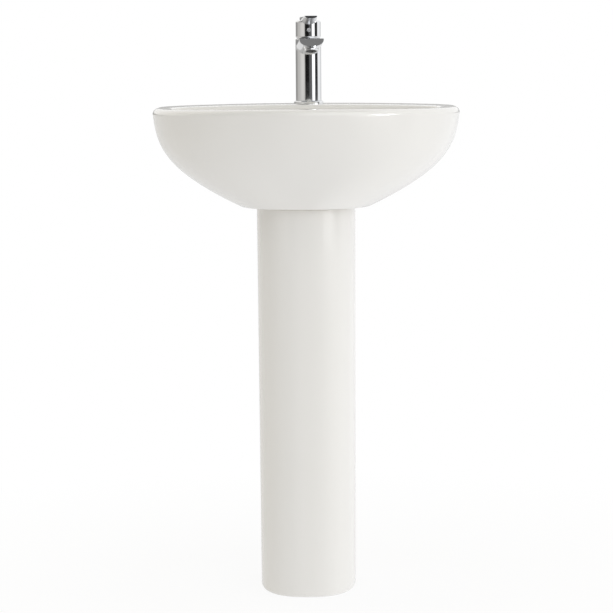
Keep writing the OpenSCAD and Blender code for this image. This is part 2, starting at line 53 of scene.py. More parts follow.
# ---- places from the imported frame, and the sizes that the ceramic's design gives --------------
basin_low, basin_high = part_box("basin")
column_low, column_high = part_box("pedestal")
ring_low, ring_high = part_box("base_ring")
drain_low, drain_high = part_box("waste_backnut")
HALF_W = basin_high.x
WALL_Y = basin_high.y
RIM_Z = basin_high.z
SEAT_Z = basin_low.z
BOWL_FLOOR_Z = RIM_Z - 138 * MM
DECK_UNDER_Z = RIM_Z - 14 * MM
DRAIN_Y = (drain_low.y + drain_high.y) / 2
WALL = 12 * MM
RIM_R = 10 * MM
LIP_R = 8 * MM
# How much lower the rim is at its two ends than in the middle.
RIM_FALL = 5 * MM
# An outline's back half runs this far past the wall, where it is cut flat.
PAST_WALL = 5 * MM
# Where an outline is widest, and the superellipse exponents of its front and back halves.
RIM_WIDE_Y = 110 * MM
RIM_N = 2.1
RIM_BACK_N = 6.5
BOWL_WIDE_Y = 40 * MM
BOWL_N = 2.1
BOWL_BACK_N = 3.2
SEAT_WIDE_Y = 20 * MM
SEAT_N = 2.7
CIRCLE_N = 2

TAP_X = (ring_low.x + ring_high.x) / 2
TAP_Y = (ring_low.y + ring_high.y) / 2
LIFT = next(joint for joint in frame["joints"] if joint["name"] == "handle_lift")
PIVOT_Z = LIFT["pos_m"][2]
TAP_TURN = atan2(-LIFT["axis"][1], -LIFT["axis"][0])
TAP_SPOT = Matrix.Translation((TAP_X, TAP_Y, 0))
TAP = TAP_SPOT @ Matrix.Rotation(TAP_TURN, 4, "Z")

# Edges that bend by more than this many degrees stay crisp.
CRISP = 30


# ---- mesh helpers ---------------------------------------------------------------------------
def linked(name, data):
    """An object for some data, put into the scene."""
    obj = bpy.data.objects.new(name, data)
    bpy.context.scene.collection.objects.link(obj)
    return obj


def new_object(name, points, faces):
    mesh = bpy.data.meshes.new(name)
    mesh.from_pydata([tuple(p) for p in points], [], [tuple(f) for f in faces])
    mesh.validate()
    mesh.update()
    obj = linked(name, mesh)
    smooth(obj)
    return obj


def smooth(obj, crisp=None):
    obj.data.polygons.foreach_set("use_smooth", [True] * len(obj.data.polygons))
    if crisp is not None:
        obj.data.set_sharp_from_angle(angle=radians(crisp))


def softened(obj, width):
    """Rounds the sharp edges a little, as casting and polishing do."""
    bevel = obj.modifiers.new("soft_edges", "BEVEL")
    bevel.width = width
    bevel.segments = 3
    bevel.limit_method = "ANGLE"
    bevel.angle_limit = radians(CRISP)
    bevel.harden_normals = False
    bevel.use_clamp_overlap = True


def turn(count):
    """Evenly spaced angles once round a circle."""
    return [2 * pi * i / count for i in range(count)]


def quarter(count):
    """Angles from 0 to a right angle, in equal steps."""
    return [pi / 2 * i / count for i in range(count + 1)]


def fractions(count):
    """Numbers from 0 to 1, in equal steps."""
    return [i / count for i in range(count + 1)]


def mix(a, b, t):
    return a + (b - a) * t


def ring_faces(rings, closed_rings=True, closed_loop=False):
    """Quads between neighbouring rings, given as (number of rings, points in each)."""
    count, size = rings
    faces = []
    for i in range(count if closed_loop else count - 1):
        a, b = i * size, ((i + 1) % count) * size
        for j in range(size if closed_rings else size - 1):
            k = (j + 1) % size
            faces.append((a + j, a + k, b + k, b + j))
    return faces


def between(first, second, count):
    """Rings part way from one ring to another, without the two ends."""
    a, b = np.array(first), np.array(second)
    return [list(map(tuple, a + (b - a) * i / (count + 1))) for i in range(1, count + 1)]


def apply_modifiers(obj):
    graph = bpy.context.evaluated_depsgraph_get()
    mesh = bpy.data.meshes.new_from_object(obj.evaluated_get(graph))
    old = obj.data
    obj.modifiers.clear()
    obj.data = mesh
    mesh.name = obj.name
    bpy.data.meshes.remove(old)


def edited(obj, edit):
    """Runs one bmesh edit on an object's mesh."""
    work = bmesh.new()
    work.from_mesh(obj.data)
    edit(work)
    work.to_mesh(obj.data)
    work.free()


def triangulated(obj):
    """Flat faces only, which a clean cut or join needs."""
    edited(obj, lambda work: bmesh.ops.triangulate(work, faces=work.faces))


def weld(obj, distance=1e-6):
    """Joins points that lie in one place."""
    edited(obj, lambda work: bmesh.ops.remove_doubles(work, verts=work.verts, dist=distance))


def face_outward(obj):
    edited(obj, lambda work: bmesh.ops.recalc_face_normals(work, faces=work.faces))


def boolean(obj, tools, operation):
    """Cuts or joins the tools with obj, then removes them."""
    for tool in tools:
        triangulated(obj)
        triangulated(tool)
        modifier = obj.modifiers.new("cut", "BOOLEAN")
        modifier.operation = operation
        modifier.solver = "EXACT"
        modifier.object = tool
        apply_modifiers(obj)
        bpy.data.objects.remove(tool, do_unlink=True)
    smooth(obj, CRISP)


def revolved(name, profile, at=Matrix.Identity(4), steps=96):
    """Turns (radius, height) points about Z. The profile starts and ends on the axis."""
    points = [at @ Vector((r * cos(a), r * sin(a), z)) for r, z in profile for a in turn(steps)]
    obj = new_object(name, points, ring_faces((len(profile), steps)))
    weld(obj)
    face_outward(obj)
    smooth(obj, CRISP)
    return obj


def cylinder(name, radius, low, high, at=Matrix.Identity(4), steps=96):
    return revolved(name, [(0, low), (radius, low), (radius, high), (0, high)], at, steps)


def arc(centre, radius, start, end, steps):
    """Points on an arc in the (radius, height) plane, angles in degrees."""
    angles = [radians(mix(start, end, t)) for t in fractions(steps)]
    return [(centre[0] + radius * cos(a), centre[1] + radius * sin(a)) for a in angles]


def block(name, centre, size):
    """A plain box by its centre and its three sizes."""
    work = bmesh.new()
    bmesh.ops.create_cube(work, size=1, matrix=Matrix.Translation(centre) @ Matrix.Diagonal((*size, 1)))
    mesh = bpy.data.meshes.new(name)
    work.to_mesh(mesh)
    work.free()
    return linked(name, mesh)


# ---- curves shared with the ceramic's design --------------------------------------------------
SEGMENTS = 256


def curve(control, t):
    """A point on the Bezier curve through four control points."""
    p = np.asarray(control, float)
    return ((1 - t) ** 3 * p[0] + 3 * t * (1 - t) ** 2 * p[1]
            + 3 * t * t * (1 - t) * p[2] + t ** 3 * p[3])


def curve_slope(control, t):
    p = np.asarray(control, float)
    return (3 * (1 - t) ** 2 * (p[1] - p[0]) + 6 * t * (1 - t) * (p[2] - p[1])
            + 3 * t * t * (p[3] - p[2]))


def moved(control, t, d):
    """The curve's [half width, front, back, height], moved square to itself by d."""
    spot, slope = curve(control, t), curve_slope(control, t)
    lengths = [sqrt(slope[i] ** 2 + slope[3] ** 2) for i in range(3)]
    plan = [spot[i] - d * slope[3] / lengths[i] for i in range(3)]
    return plan + [spot[3] + d * slope[0] / lengths[0]]


def power(value, exponent):
    """A power that keeps the sign of its value."""
    return (1 if value >= 0 else -1) * abs(value) ** exponent


def outline(sizes, wide_y, front_n, back_n, limit):
    """One ring of points from [half width, front, back, height], cut flat at y = limit."""
    half, front, back, z = sizes
    high = max(0.0, (z - BOWL_FLOOR_Z) / (RIM_Z - BOWL_FLOOR_Z))
    points = []
    for a in turn(SEGMENTS):
        is_front = sin(a) < 0
        n = front_n if is_front else back_n
        x = half * power(cos(a), 2 / n)
        y = wide_y + (wide_y + front if is_front else back - wide_y) * power(sin(a), 2 / n)
        points.append((x, min(y, limit), z - RIM_FALL * high * (x / HALF_W) ** 2))
    return points


# ---- materials ------------------------------------------------------------------------------
# The colour sockets of a Mix node, which share their names with its other types.
MIX_A, MIX_B, MIX_OUT = 6, 7, 2


def node(tree, kind, **values):
    """A shader node with its settings and its unlinked inputs."""
    made = tree.nodes.new(kind)
    for key, value in values.items():
        if hasattr(made, key):
            setattr(made, key, value)
        else:
            made.inputs[key.replace("_", " ")].default_value = value
    return made


def noise(tree, coords, scale, detail=4.0):
    made = node(tree, "ShaderNodeTexNoise", Scale=scale, Detail=detail, Roughness=0.55)
    tree.links.new(coords, made.inputs["Vector"])
    return made.outputs["Fac"]


def ranged(tree, value, low, high, from_low=0.3, from_high=0.7):
    """Maps the span from_low to from_high on to low to high. Values beyond it stay at its ends."""
    made = node(tree, "ShaderNodeMapRange")
    for socket, number in zip(("From Min", "From Max", "To Min", "To Max"),
                              (from_low, from_high, low, high)):
        made.inputs[socket].default_value = number
    tree.links.new(value, made.inputs["Value"])
    return made.outputs["Result"]


def mixed(tree, factor, first, second):
    """Blends two colours, each a socket or a constant."""
    made = node(tree, "ShaderNodeMix", data_type="RGBA")
    tree.links.new(factor, made.inputs["Factor"])
    for socket, value in ((MIX_A, first), (MIX_B, second)):
        if isinstance(value, tuple):
            made.inputs[socket].default_value = (*value, 1)
        else:
            tree.links.new(value, made.inputs[socket])
    return made.outputs[MIX_OUT]


def bumped(tree, shader, heights):
    """Adds (height, strength, distance) layers of bump, one after another."""
    previous = None
    for height, strength, distance in heights:
        made = node(tree, "ShaderNodeBump", Strength=strength, Distance=distance)
        tree.links.new(height, made.inputs["Height"])
        if previous is not None:
            tree.links.new(previous, made.inputs["Normal"])
        previous = made.outputs["Normal"]
    tree.links.new(previous, shader.inputs["Normal"])


def material(name, tones, rough, bumps, **constants):
    """One surface from two close tones, a roughness that varies, and layers of bump.

    tones is (dark, light, noise scale), rough is (low, high, noise scale), and each bump is
    (noise scale, strength, distance)."""
    made = bpy.data.materials.new(name)
    made.use_nodes = True
    tree = made.node_tree
    shader = tree.nodes["Principled BSDF"]
    coords = tree.nodes.new("ShaderNodeTexCoord").outputs["Object"]
    dark, light, tone_scale = tones
    tone = ranged(tree, noise(tree, coords, tone_scale), 0, 1)
    tree.links.new(mixed(tree, tone, dark, light), shader.inputs["Base Color"])
    rough_low, rough_high, rough_scale = rough
    roughness = ranged(tree, noise(tree, coords, rough_scale, 3), rough_low, rough_high)
    tree.links.new(roughness, shader.inputs["Roughness"])
    bumped(tree, shader, [(noise(tree, coords, scale, 2), strength, distance)
                          for scale, strength, distance in bumps])
    for key, value in constants.items():
        shader.inputs[key.replace("_", " ")].default_value = value
    made.diffuse_color = (*light, 1)
    return made


GLAZE = material("glazed_ceramic", ((0.782, 0.771, 0.746), (0.799, 0.789, 0.766), 3.0),
                 (0.16, 0.24, 9.0), [(14.0, 0.05, 0.004), (420.0, 0.03, 0.0002)],
                 Coat_Weight=0.7, Coat_Roughness=0.04, IOR=1.5)
BISQUE = material("bare_ceramic", ((0.66, 0.62, 0.56), (0.74, 0.70, 0.64), 18.0),
                  (0.65, 0.85, 40.0), [(90.0, 0.35, 0.0006), (900.0, 0.3, 0.0002)])
CHROME = material("polished_chrome", ((0.78, 0.79, 0.81), (0.83, 0.84, 0.855), 30.0),
                  (0.03, 0.06, 60.0), [(35.0, 0.02, 0.0006)], Metallic=1.0)
STEEL = material("brushed_steel", ((0.50, 0.50, 0.51), (0.62, 0.62, 0.63), 300.0),
                 (0.25, 0.38, 500.0), [(1500.0, 0.10, 0.0001)], Metallic=1.0)
BRASS = material("machined_brass", ((0.62, 0.45, 0.20), (0.78, 0.60, 0.30), 60.0),
                 (0.22, 0.36, 300.0), [(1200.0, 0.12, 0.0001)], Metallic=1.0)
COPPER = material("copper_tube", ((0.56, 0.26, 0.15), (0.78, 0.42, 0.27), 25.0),
                  (0.20, 0.38, 80.0), [(500.0, 0.10, 0.0001)], Metallic=1.0)
RUBBER = material("black_rubber", ((0.012, 0.012, 0.013), (0.025, 0.025, 0.027), 120.0),
                  (0.55, 0.75, 200.0), [(1400.0, 0.25, 0.0001)])
PLASTIC = material("white_plastic", ((0.72, 0.72, 0.70), (0.79, 0.79, 0.775), 20.0),
                   (0.28, 0.40, 60.0), [(700.0, 0.08, 0.0001)])
DARK_PLASTIC = material("dark_plastic", ((0.015, 0.015, 0.016), (0.03, 0.03, 0.032), 90.0),
                        (0.35, 0.5, 200.0), [(900.0, 0.15, 0.0001)])
DISC = material("lapped_ceramic", ((0.78, 0.76, 0.70), (0.86, 0.84, 0.78), 60.0),
                (0.10, 0.18, 200.0), [(900.0, 0.04, 0.0001)])
DOT = material("indicator_plug", ((0.42, 0.43, 0.45), (0.52, 0.53, 0.55), 200.0),
               (0.18, 0.3, 300.0), [(1200.0, 0.08, 0.0001)])


def dress(obj, *materials):
    obj.data.materials.clear()
    for made in materials:
        obj.data.materials.append(made)


def dress_ceramic(obj, bare=None):
    """Glaze, with the faces that are marked bare left as fired clay. All are bare by default."""
    dress(obj, GLAZE, BISQUE)
    if bare is None:
        bare = [True] * len(obj.data.polygons)
    obj.data.polygons.foreach_set("material_index", [int(b) for b in bare])


def place(obj, body, slot, *nodes):
    """Lets a piece ride with a body and stand in for CAD nodes."""
    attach(obj, body)
    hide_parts(*nodes)


# ---- basin ----------------------------------------------------------------------------------
# Control points as [half width, front, back, height], from the top down.
SKIN = [(HALF_W, WALL_Y, WALL_Y + PAST_WALL, RIM_Z - RIM_R),
        (HALF_W - 7 * MM, WALL_Y, WALL_Y + PAST_WALL, RIM_Z - 66 * MM),
        (HALF_W - 20 * MM, WALL_Y - 25 * MM, WALL_Y + PAST_WALL, RIM_Z - 110 * MM),
        (117 * MM, 137 * MM, WALL_Y + PAST_WALL, SEAT_Z)]
BOWL = [(HALF_W - 43 * MM, WALL_Y - 40 * MM, 94 * MM, RIM_Z - LIP_R),
        (HALF_W - 49 * MM, WALL_Y - 44 * MM, 88 * MM, RIM_Z - 92 * MM),
        (HALF_W - 125 * MM, WALL_Y - 90 * MM, 50 * MM, BOWL_FLOOR_Z + 4 * MM),
        (20 * MM, 20 * MM - DRAIN_Y, 20 * MM + DRAIN_Y, BOWL_FLOOR_Z)]
SEAT_HOLE_HALF_W = 75 * MM
SEAT_HOLE_FRONT = 106 * MM
SEAT_HOLE_BACK = WALL_Y - 22 * MM
SEAT_EDGE = 3 * MM
BOSS_R = 36 * MM
BOSS_Z = SEAT_Z + 2 * MM
DRAIN_R = 23 * MM
DRAIN_SEAT_R = 32.5 * MM
DRAIN_SEAT_Z = BOWL_FLOOR_Z - 3.5 * MM
TAP_HOLE_R = 17.5 * MM
# Where the overflow is on the bowl's curve, from 0 at the lip to 1 at the drain.
OVERFLOW_T = 0.11
OVERFLOW_R = 11 * MM
OVERFLOW_SEAT_R = 14.2 * MM
BOLT_X = 140 * MM
BOLT_Z = RIM_Z - 70 * MM
BOLT_R = 7 * MM


def skin_ring(t, d):
    """The outside from the rim (t = 0) down to the seat (t = 1), moved outwards by d."""
    k = t ** 1.5
    wide_y, front_n = mix(RIM_WIDE_Y, SEAT_WIDE_Y, k), mix(RIM_N, SEAT_N, k)
    return outline(moved(SKIN, t, d), wide_y, front_n, RIM_BACK_N, WALL_Y + d)


def bowl_ring(t, d):
    """The bowl from its lip (t = 0) down to the drain (t = 1), moved outwards by d."""
    front_n, back_n = mix(BOWL_N, CIRCLE_N, t), mix(BOWL_BACK_N, CIRCLE_N, t)
    return outline(moved(BOWL, t, d), mix(BOWL_WIDE_Y, DRAIN_Y, t), front_n, back_n, WALL_Y)


def rim_ring(inset, z):
    sizes = (HALF_W - inset, WALL_Y - inset, WALL_Y + PAST_WALL - inset, z)
    return outline(sizes, RIM_WIDE_Y, RIM_N, RIM_BACK_N, WALL_Y - inset)


def lip_ring(outset, z):
    sizes = (BOWL[0][0] + outset, BOWL[0][1] + outset, BOWL[0][2] + outset, z)
    return outline(sizes, BOWL_WIDE_Y, BOWL_N, BOWL_BACK_N, WALL_Y)


def seat_hole_ring(inset, z):
    """The opening in the flange that stands on the column."""
    sizes = (SEAT_HOLE_HALF_W - inset, SEAT_HOLE_FRONT - inset, SEAT_HOLE_BACK - inset, z)
    return outline(sizes, SEAT_WIDE_Y, SEAT_N, RIM_BACK_N, WALL_Y)


def overflow_duct(name, half_x, inner, outer, t0, t1):
    """A slab that follows the bowl's back from t0 to t1, between two distances behind it."""
    near = [moved(BOWL, mix(t0, t1, t), inner)[2:] for t in fractions(20)]
    far = [moved(BOWL, mix(t1, t0, t), outer)[2:] for t in fractions(20)]
    loop = near + far
    points = [(x, y, z) for x in (-half_x, half_x) for y, z in loop]
    count = len(loop)
    faces = ring_faces((2, count)) + [tuple(range(count))[::-1], tuple(range(count, 2 * count))]
    obj = new_object(name, points, faces)
    face_outward(obj)
    return obj


def overflow_place():
    """Stands on the bowl's back wall at the overflow, with Z into the ceramic."""
    spot, lean = curve(BOWL, OVERFLOW_T), curve_slope(BOWL, OVERFLOW_T)
    angle = -pi / 2 - atan2(lean[2] / lean[3], 1)
    return Matrix.Translation((0, spot[2], spot[3])) @ Matrix.Rotation(angle, 4, "X")


def basin_shell():
    """The ceramic as one closed loop of rings: outside, rim, bowl, underside and flange."""
    outer = [skin_ring(1 - t, 0) for t in fractions(56)]
    roll = [rim_ring(RIM_R * (1 - cos(a)), RIM_Z - RIM_R * (1 - sin(a))) for a in quarter(12)[1:]]
    lip = [lip_ring(LIP_R * (1 - cos(a)), RIM_Z - LIP_R * (1 - sin(a))) for a in quarter(9)[:0:-1]]
    inside = [bowl_ring(t, 0) for t in fractions(48)]
    glazed = outer + roll + between(roll[-1], lip[0], 2) + lip + inside
    under = [bowl_ring(1 - t, WALL) for t in fractions(24)[:-1]]
    under += [lip_ring(WALL, DECK_UNDER_Z), rim_ring(WALL, DECK_UNDER_Z)]
    under += [skin_ring(t, -WALL) for t in fractions(24)[1:]]
    flange = [seat_hole_ring(0, SEAT_Z + WALL), seat_hole_ring(0, SEAT_Z + SEAT_EDGE),
              seat_hole_ring(-SEAT_EDGE, SEAT_Z)]
    rings = glazed + under + flange
    faces = ring_faces((len(rings), SEGMENTS), closed_loop=True)
    basin = new_object("basin_ceramic", [p for ring in rings for p in ring], faces)
    dress_ceramic(basin, [i // SEGMENTS >= len(glazed) - 1 for i in range(len(faces))])
    face_outward(basin)
    return basin


def make_basin():
    basin = basin_shell()
    drain = Matrix.Translation((0, DRAIN_Y, 0))
    joined = [cylinder("boss", BOSS_R, BOSS_Z, BOWL_FLOOR_Z - WALL / 2, drain),
              overflow_duct("duct", half_x=18 * MM, inner=6 * MM, outer=26 * MM, t0=0.04, t1=0.93)]
    for tool in joined:
        dress_ceramic(tool)
    boolean(basin, joined, "UNION")
    cuts = [overflow_duct("passage", half_x=12 * MM, inner=9 * MM, outer=20 * MM, t0=0.06, t1=1),
            cylinder("bore", DRAIN_R, BOSS_Z - MM, RIM_Z, drain),
            cylinder("recess", DRAIN_SEAT_R, DRAIN_SEAT_Z, RIM_Z, drain),
            cylinder("tap_hole", TAP_HOLE_R, DECK_UNDER_Z - 5 * MM, RIM_Z + 20 * MM, TAP_SPOT),
            cylinder("overflow_hole", OVERFLOW_R, -10 * MM, 16 * MM, overflow_place()),
            cylinder("overflow_seat", OVERFLOW_SEAT_R, -6 * MM, 0, overflow_place())]
    into_wall = Matrix.Rotation(-pi / 2, 4, "X")
    for side in (-1, 1):
        spot = Matrix.Translation((side * BOLT_X, WALL_Y - 30 * MM, BOLT_Z))
        cuts.append(cylinder("bolt_hole", BOLT_R, 0, 40 * MM, spot @ into_wall))
    boolean(basin, cuts, "DIFFERENCE")
    place(basin, "fixed", "ceramic", "basin")


# ---- pedestal -------------------------------------------------------------------------------
COLUMN_FRONT = -column_low.y
COLUMN_BACK = column_high.y
NECK_HALF = column_high.x
FOOT_HALF = NECK_HALF - 2.5 * MM
FOOT_R = 6 * MM
NECK_R = 4 * MM
COLUMN_WALL = 13 * MM
COLUMN_N = 2.5
# The open back's edges are drawn in by no more than this.
BACK_INSET = 3 * MM
LUG_SIZE = (40 * MM, 36 * MM, 16 * MM)
LUG_X = 58 * MM
LUG_Y = 25 * MM
LUG_HOLE_X = 52 * MM
LUG_HOLE_R = 4 * MM


def column_ring(inset, z, count=120):
    """The plan of the column at one height, from the right back edge round to the left."""
    half = mix(FOOT_HALF, NECK_HALF, z / SEAT_Z) - inset
    front = COLUMN_FRONT - inset
    back = COLUMN_BACK - min(inset, BACK_INSET)
    points = [(half, back, z)]
    for i in range(count + 1):
        a = -pi * i / count
        points.append((half * power(cos(a), 2 / COLUMN_N), -front * abs(sin(a)) ** (2 / COLUMN_N), z))
    points.append((-half, back, z))
    return points


def make_pedestal():
    levels = [(FOOT_R * (1 - cos(a)), FOOT_R * (1 - sin(a))) for a in quarter(8)[::-1]]
    levels += [(0, SEAT_Z * part) for part in (0.25, 0.5, 0.75)]
    levels += [(NECK_R * (1 - cos(a)), SEAT_Z - NECK_R * (1 - sin(a))) for a in quarter(8)]
    outside = len(levels)
    levels += [(COLUMN_WALL, SEAT_Z), (COLUMN_WALL, SEAT_Z / 2), (COLUMN_WALL, 0)]
    rings = [column_ring(inset, z) for inset, z in levels]
    size = len(rings[0])
    faces = ring_faces((len(rings), size), closed_rings=False, closed_loop=True)
    bare = [i // (size - 1) >= outside - 1 for i in range(len(faces))]
    for side in (0, size - 1):
        faces.append([i * size + side for i in range(len(rings))])
        bare.append(False)
    pedestal = new_object("pedestal_ceramic", [p for ring in rings for p in ring], faces)
    dress_ceramic(pedestal, bare)
    face_outward(pedestal)
    lugs = [block("lug", (side * LUG_X, LUG_Y, LUG_SIZE[2] / 2), LUG_SIZE) for side in (-1, 1)]
    for lug in lugs:
        dress_ceramic(lug)
    boolean(pedestal, lugs, "UNION")
    spots = [Matrix.Translation((side * LUG_HOLE_X, LUG_Y, 0)) for side in (-1, 1)]
    holes = [cylinder("hole", LUG_HOLE_R, -MM, LUG_SIZE[2] + 3 * MM, spot) for spot in spots]
    boolean(pedestal, holes, "DIFFERENCE")
    place(pedestal, "fixed", "ceramic", "pedestal")


# ---- tap: its own Y runs back from the spout's nose, and Z is up --------------------------------
RING_Z = RIM_Z + 5.5 * MM
BODY_R = 23 * MM
BODY_EDGE = 0.6 * MM
NECK_PIPE_R = 13.8 * MM
DOME_R = 32 * MM
DOME_GAP = 0.4 * MM
CARTRIDGE_R = 17.5 * MM
CARTRIDGE_LOW_Z = PIVOT_Z - 26 * MM
COLLAR_R = 19.05 * MM
COLLAR_LOW_Z = PIVOT_Z + 14 * MM
SPOUT_TOP_Z = PIVOT_Z + 21 * MM
SPOUT_REACH = 106 * MM
SPOUT_ROUND = 1.2 * MM
NOSE_Z = SPOUT_TOP_Z + 2.5 * MM
NOSE_ROUND = 0.6 * MM
NOSE_LEAN = 0.15
AERATOR_R = 12 * MM
AERATOR_LEAN = radians(-16)
AERATOR_SPOT = Matrix.Translation((0, 18 * MM - SPOUT_REACH, PIVOT_Z + MM))
AERATOR = TAP @ AERATOR_SPOT @ Matrix.Rotation(AERATOR_LEAN, 4, "X")
HUB_R = BODY_R - 0.5 * MM
HUB_LOW_Z = PIVOT_Z + 20 * MM
HUB_TOP_Z = PIVOT_Z + 56 * MM
HUB_FILLET = 3 * MM
LEVER_TOP_Z = PIVOT_Z + 64 * MM
LEVER_REACH = 92 * MM
LEVER_ROUND = 1.5 * MM
SOCKET_R = 4 * MM
SCREW_Z = PIVOT_Z + 39 * MM
SCREW_R = 2.5 * MM
BUTTON_R = 3.75 * MM
FINE_STEPS = 128
# Below 1, this makes a belly fuller than an ellipse.
BELLY_POWER = 0.8


def belly(half, deep, y, z, round_r, count=48):
    """A flat-topped section with a round belly, standing across Y, its two top edges rounded."""
    angles = [pi * t for t in fractions(count)]
    under = [[half * power(cos(a), BELLY_POWER), -deep * sin(a) ** BELLY_POWER] for a in angles]
    top_steps = 2 * count // 3
    top = [[mix(-half, half, i / top_steps), 0.0] for i in range(1, top_steps)]
    for point in under + top:
        near = max(0.0, abs(point[0]) - (half - round_r))
        drop = round_r - sqrt(max(0.0, round_r ** 2 - near ** 2))
        point[1] = min(point[1], -drop)
    return [(x, y, z + h) for x, h in under + top]


def lofted(name, sections, steps_between, at):
    """A solid through a row of sections, with closed ends."""
    rings = []
    for first, second in zip(sections, sections[1:]):
        rings += [first] + between(first, second, steps_between)
    rings.append(sections[-1])
    size = len(rings[0])
    faces = ring_faces((len(rings), size))
    faces += [tuple(range(size))[::-1], tuple(range((len(rings) - 1) * size, len(rings) * size))]
    obj = new_object(name, [at @ Vector(p) for ring in rings for p in ring], faces)
    weld(obj)
    face_outward(obj)
    smooth(obj, CRISP)
    return obj


def leaning(section):
    """The same section with its foot drawn back, so the nose looks a little downwards."""
    return [(x, y + NOSE_LEAN * (NOSE_Z - z), z) for x, y, z in section]


def make_tap_body():
    dome_edge = degrees(atan2(sqrt(DOME_R ** 2 - BODY_R ** 2), BODY_R))
    profile = [(0, RING_Z), (BODY_R - BODY_EDGE, RING_Z), (BODY_R, RING_Z + BODY_EDGE)]
    profile += [(BODY_R, mix(RING_Z, PIVOT_Z, t)) for t in (0.25, 0.5, 0.75, 1)]
    profile += arc((0, PIVOT_Z), DOME_R, dome_edge, 90, 16)
    profile[-1] = (0, PIVOT_Z + DOME_R)
    body = revolved("tap_body_chrome", profile, TAP, FINE_STEPS)
    root = belly(half=BODY_R - 0.3 * MM, deep=30 * MM, y=-2 * MM, z=SPOUT_TOP_Z, round_r=SPOUT_ROUND)
    nose = belly(half=22 * MM, deep=13.5 * MM, y=MM - SPOUT_REACH, z=NOSE_Z, round_r=NOSE_ROUND)
    face = belly(half=21.3 * MM, deep=12.8 * MM, y=-SPOUT_REACH, z=NOSE_Z - NOSE_ROUND, round_r=NOSE_ROUND)
    tools = [cylinder("neck", NECK_PIPE_R, RING_Z - 8 * MM, RING_Z + 2 * MM, TAP),
             lofted("spout", [root, leaning(nose), leaning(face)], 6, TAP),
             cylinder("mouth", AERATOR_R + 1.5 * MM, 4 * MM, 12 * MM, AERATOR)]
    boolean(body, tools, "UNION")
    cuts = [cylinder("bore", CARTRIDGE_R, CARTRIDGE_LOW_Z, CARTRIDGE_LOW_Z + 60 * MM, TAP),
            cylinder("collar", COLLAR_R, COLLAR_LOW_Z, COLLAR_LOW_Z + 40 * MM, TAP),
            cylinder("aerator_bore", AERATOR_R, -20 * MM, 10 * MM, AERATOR)]
    boolean(body, cuts, "DIFFERENCE")
    dress(body, CHROME)
    place(body, "fixed", "chrome", "tap_body")


def hub_profile():
    """The handle's round part. Its close pairs of points keep the shading of its straight side flat."""
    profile = [(0, HUB_LOW_Z), (HUB_R - 3 * MM, HUB_LOW_Z), (HUB_R - 0.15 * MM, HUB_LOW_Z + 6.2 * MM)]
    profile += [(HUB_R, HUB_LOW_Z + 6.9 * MM), (HUB_R, HUB_LOW_Z + 7.6 * MM)]
    profile += [(HUB_R, HUB_TOP_Z - HUB_FILLET - 0.6 * MM)]
    profile += arc((HUB_R - HUB_FILLET, HUB_TOP_Z - HUB_FILLET), HUB_FILLET, 0, 90, 8)
    return profile + [(0, HUB_TOP_Z)]


def make_handle():
    hub = revolved("handle_chrome", hub_profile(), TAP, FINE_STEPS)
    back = belly(half=14.5 * MM, deep=17 * MM, y=17 * MM, z=LEVER_TOP_Z - 1.5 * MM, round_r=LEVER_ROUND)
    middle = belly(half=14.5 * MM, deep=16 * MM, y=-10 * MM, z=LEVER_TOP_Z - MM, round_r=LEVER_ROUND)
    tip = belly(half=11.5 * MM, deep=5 * MM, y=1.2 * MM - LEVER_REACH, z=LEVER_TOP_Z, round_r=LEVER_ROUND)
    face = belly(half=10.8 * MM, deep=4.2 * MM, y=-LEVER_REACH, z=LEVER_TOP_Z - 0.6 * MM, round_r=1.2 * MM)
    boolean(hub, [lofted("lever", [back, middle, tip, face], 8, TAP)], "UNION")
    low, high = PIVOT_Z - DOME_R, PIVOT_Z + DOME_R + DOME_GAP
    dome = [(0, low)] + arc((0, PIVOT_Z), DOME_R + DOME_GAP, -80, 80, 40) + [(0, high)]
    at_screw = TAP @ Matrix.Translation((0, 0, SCREW_Z)) @ Matrix.Rotation(pi / 2, 4, "X")
    # The screw hole has 88 sides, because the cut came out watertight with 88 and not with 96.
    cuts = [revolved("dome", dome, TAP, FINE_STEPS),
            cylinder("socket", SOCKET_R, PIVOT_Z, PIVOT_Z + 48 * MM, TAP),
            cylinder("screw_hole", SCREW_R, 0, 30 * MM, at_screw, 88),
            cylinder("button_hole", BUTTON_R, 17 * MM, 40 * MM, at_screw)]
    boolean(hub, cuts, "DIFFERENCE")
    dress(hub, CHROME)
    place(hub, "lever", "chrome", "handle")


make_basin()
make_pedestal()
make_tap_body()
make_handle()

# ---- the rest keep their CAD shapes, with their own finish and some softened edges --------------
FINISH = {"chrome": CHROME, "steel": STEEL, "brass": BRASS, "copper": COPPER, "rubber": RUBBER,
          "white_plastic": PLASTIC, "dark_plastic": DARK_PLASTIC, "disc_ceramic": DISC,
          "indicator": DOT, "ceramic": GLAZE}
SOFT_EDGED = {"base_ring": 0.5 * MM, "aerator_housing": 0.3 * MM, "indicator": 0.3 * MM,
              "plug_cap": 0.5 * MM, "overflow_ring": 0.4 * MM, "trap_bottle": 0.6 * MM,
              "trap_inlet_nut": 0.6 * MM, "trap_outlet_nut": 0.6 * MM, "waste_backnut": 0.5 * MM}
slots = {part["node"]: part["material_slot"] for part in frame["record"]["subparts"]}
for name, obj in frame["nodes"].items():
    if obj.hide_render:
        continue
    dress(obj, FINISH[slots[name]])
    if name in SOFT_EDGED:
        softened(obj, SOFT_EDGED[name])


# ---- floor ----------------------------------------------------------------------------------
FLOOR_R = 4.0
# The floor's own glow, from near the object to where it has faded into the white behind.
GLOW_NEAR = 0.88
GLOW_FAR = 1.0
FADE_FROM = 0.3
FADE_TO = 1.1


def blended_shaders(tree, factor, first, second):
    made = node(tree, "ShaderNodeMixShader")
    for socket, value in enumerate((factor, first, second)):
        tree.links.new(value, made.inputs[socket])
    return made.outputs[0]


